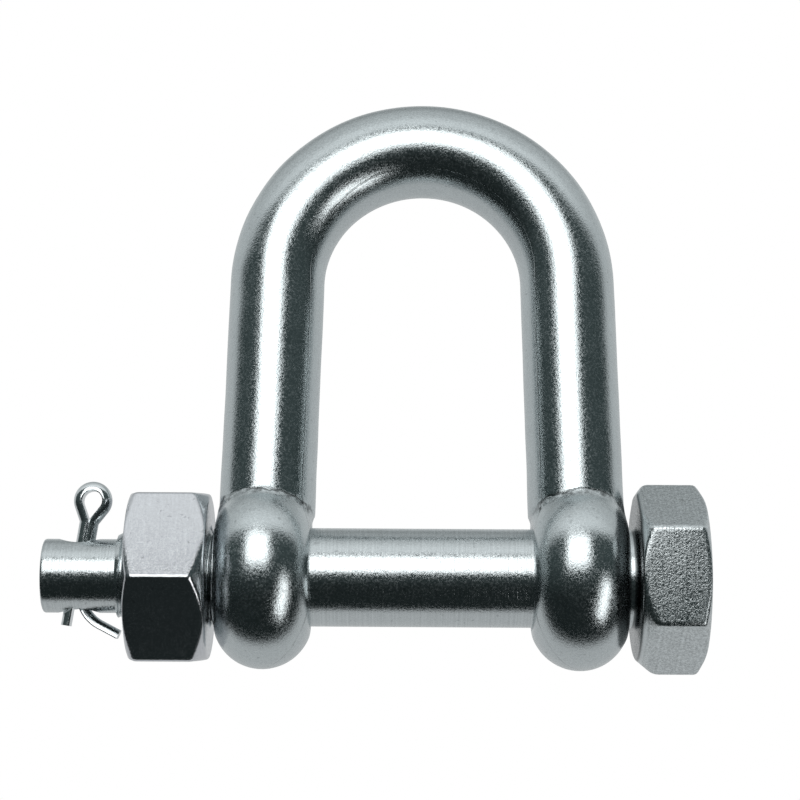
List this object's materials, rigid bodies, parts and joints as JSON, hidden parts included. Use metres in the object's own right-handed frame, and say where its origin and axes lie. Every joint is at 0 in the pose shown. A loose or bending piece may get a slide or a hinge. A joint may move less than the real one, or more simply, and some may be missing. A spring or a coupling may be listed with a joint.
{
  "type": "dee shackle",
  "caption": "D-shaped lifting shackle: a round-bar bow closed by a hexagon-headed bolt, with its nut and a split pin.",
  "frame": {"origin": "on the bolt's axis, midway between the eyes", "axes": "+X along the bolt towards its head, +Z from the bolt towards the crown of the bow, -Y towards the front"},
  "size_m": [0.1072, 0.0306, 0.0973],
  "materials": {
    "forged_steel": "forged stainless steel, tumbled and polished to a bright satin",
    "turned_steel": "turned stainless steel, satin shank and fine turning marks on the plain end",
    "bright_steel": "machined stainless steel, brightly polished",
    "wire_steel": "drawn stainless half-round wire"
  },
  "bodies": {
    "bow": {"shackle_body": "forged_steel"},
    "bolt": {"bolt": "turned_steel"},
    "nut": {"nut": "bright_steel"},
    "split_pin": {"split_pin": "wire_steel"}
  },
  "joints": [
    {"name": "bolt_turn", "type": "hinge", "parent": "bow", "child": "bolt", "pos_m": [0, 0, 0], "axis": [1, 0, 0], "continuous": true},
    {"name": "nut_turn", "type": "hinge", "parent": "bolt", "child": "nut", "pos_m": [-0.0409, 0, 0], "axis": [1, 0, 0], "continuous": true},
    {"name": "split_pin_swivel", "type": "hinge", "parent": "bolt", "child": "split_pin", "pos_m": [-0.0557, 0, 0], "axis": [0.1564, -0.1375, 0.9781], "range_deg": [-45, 45]}
  ]
}
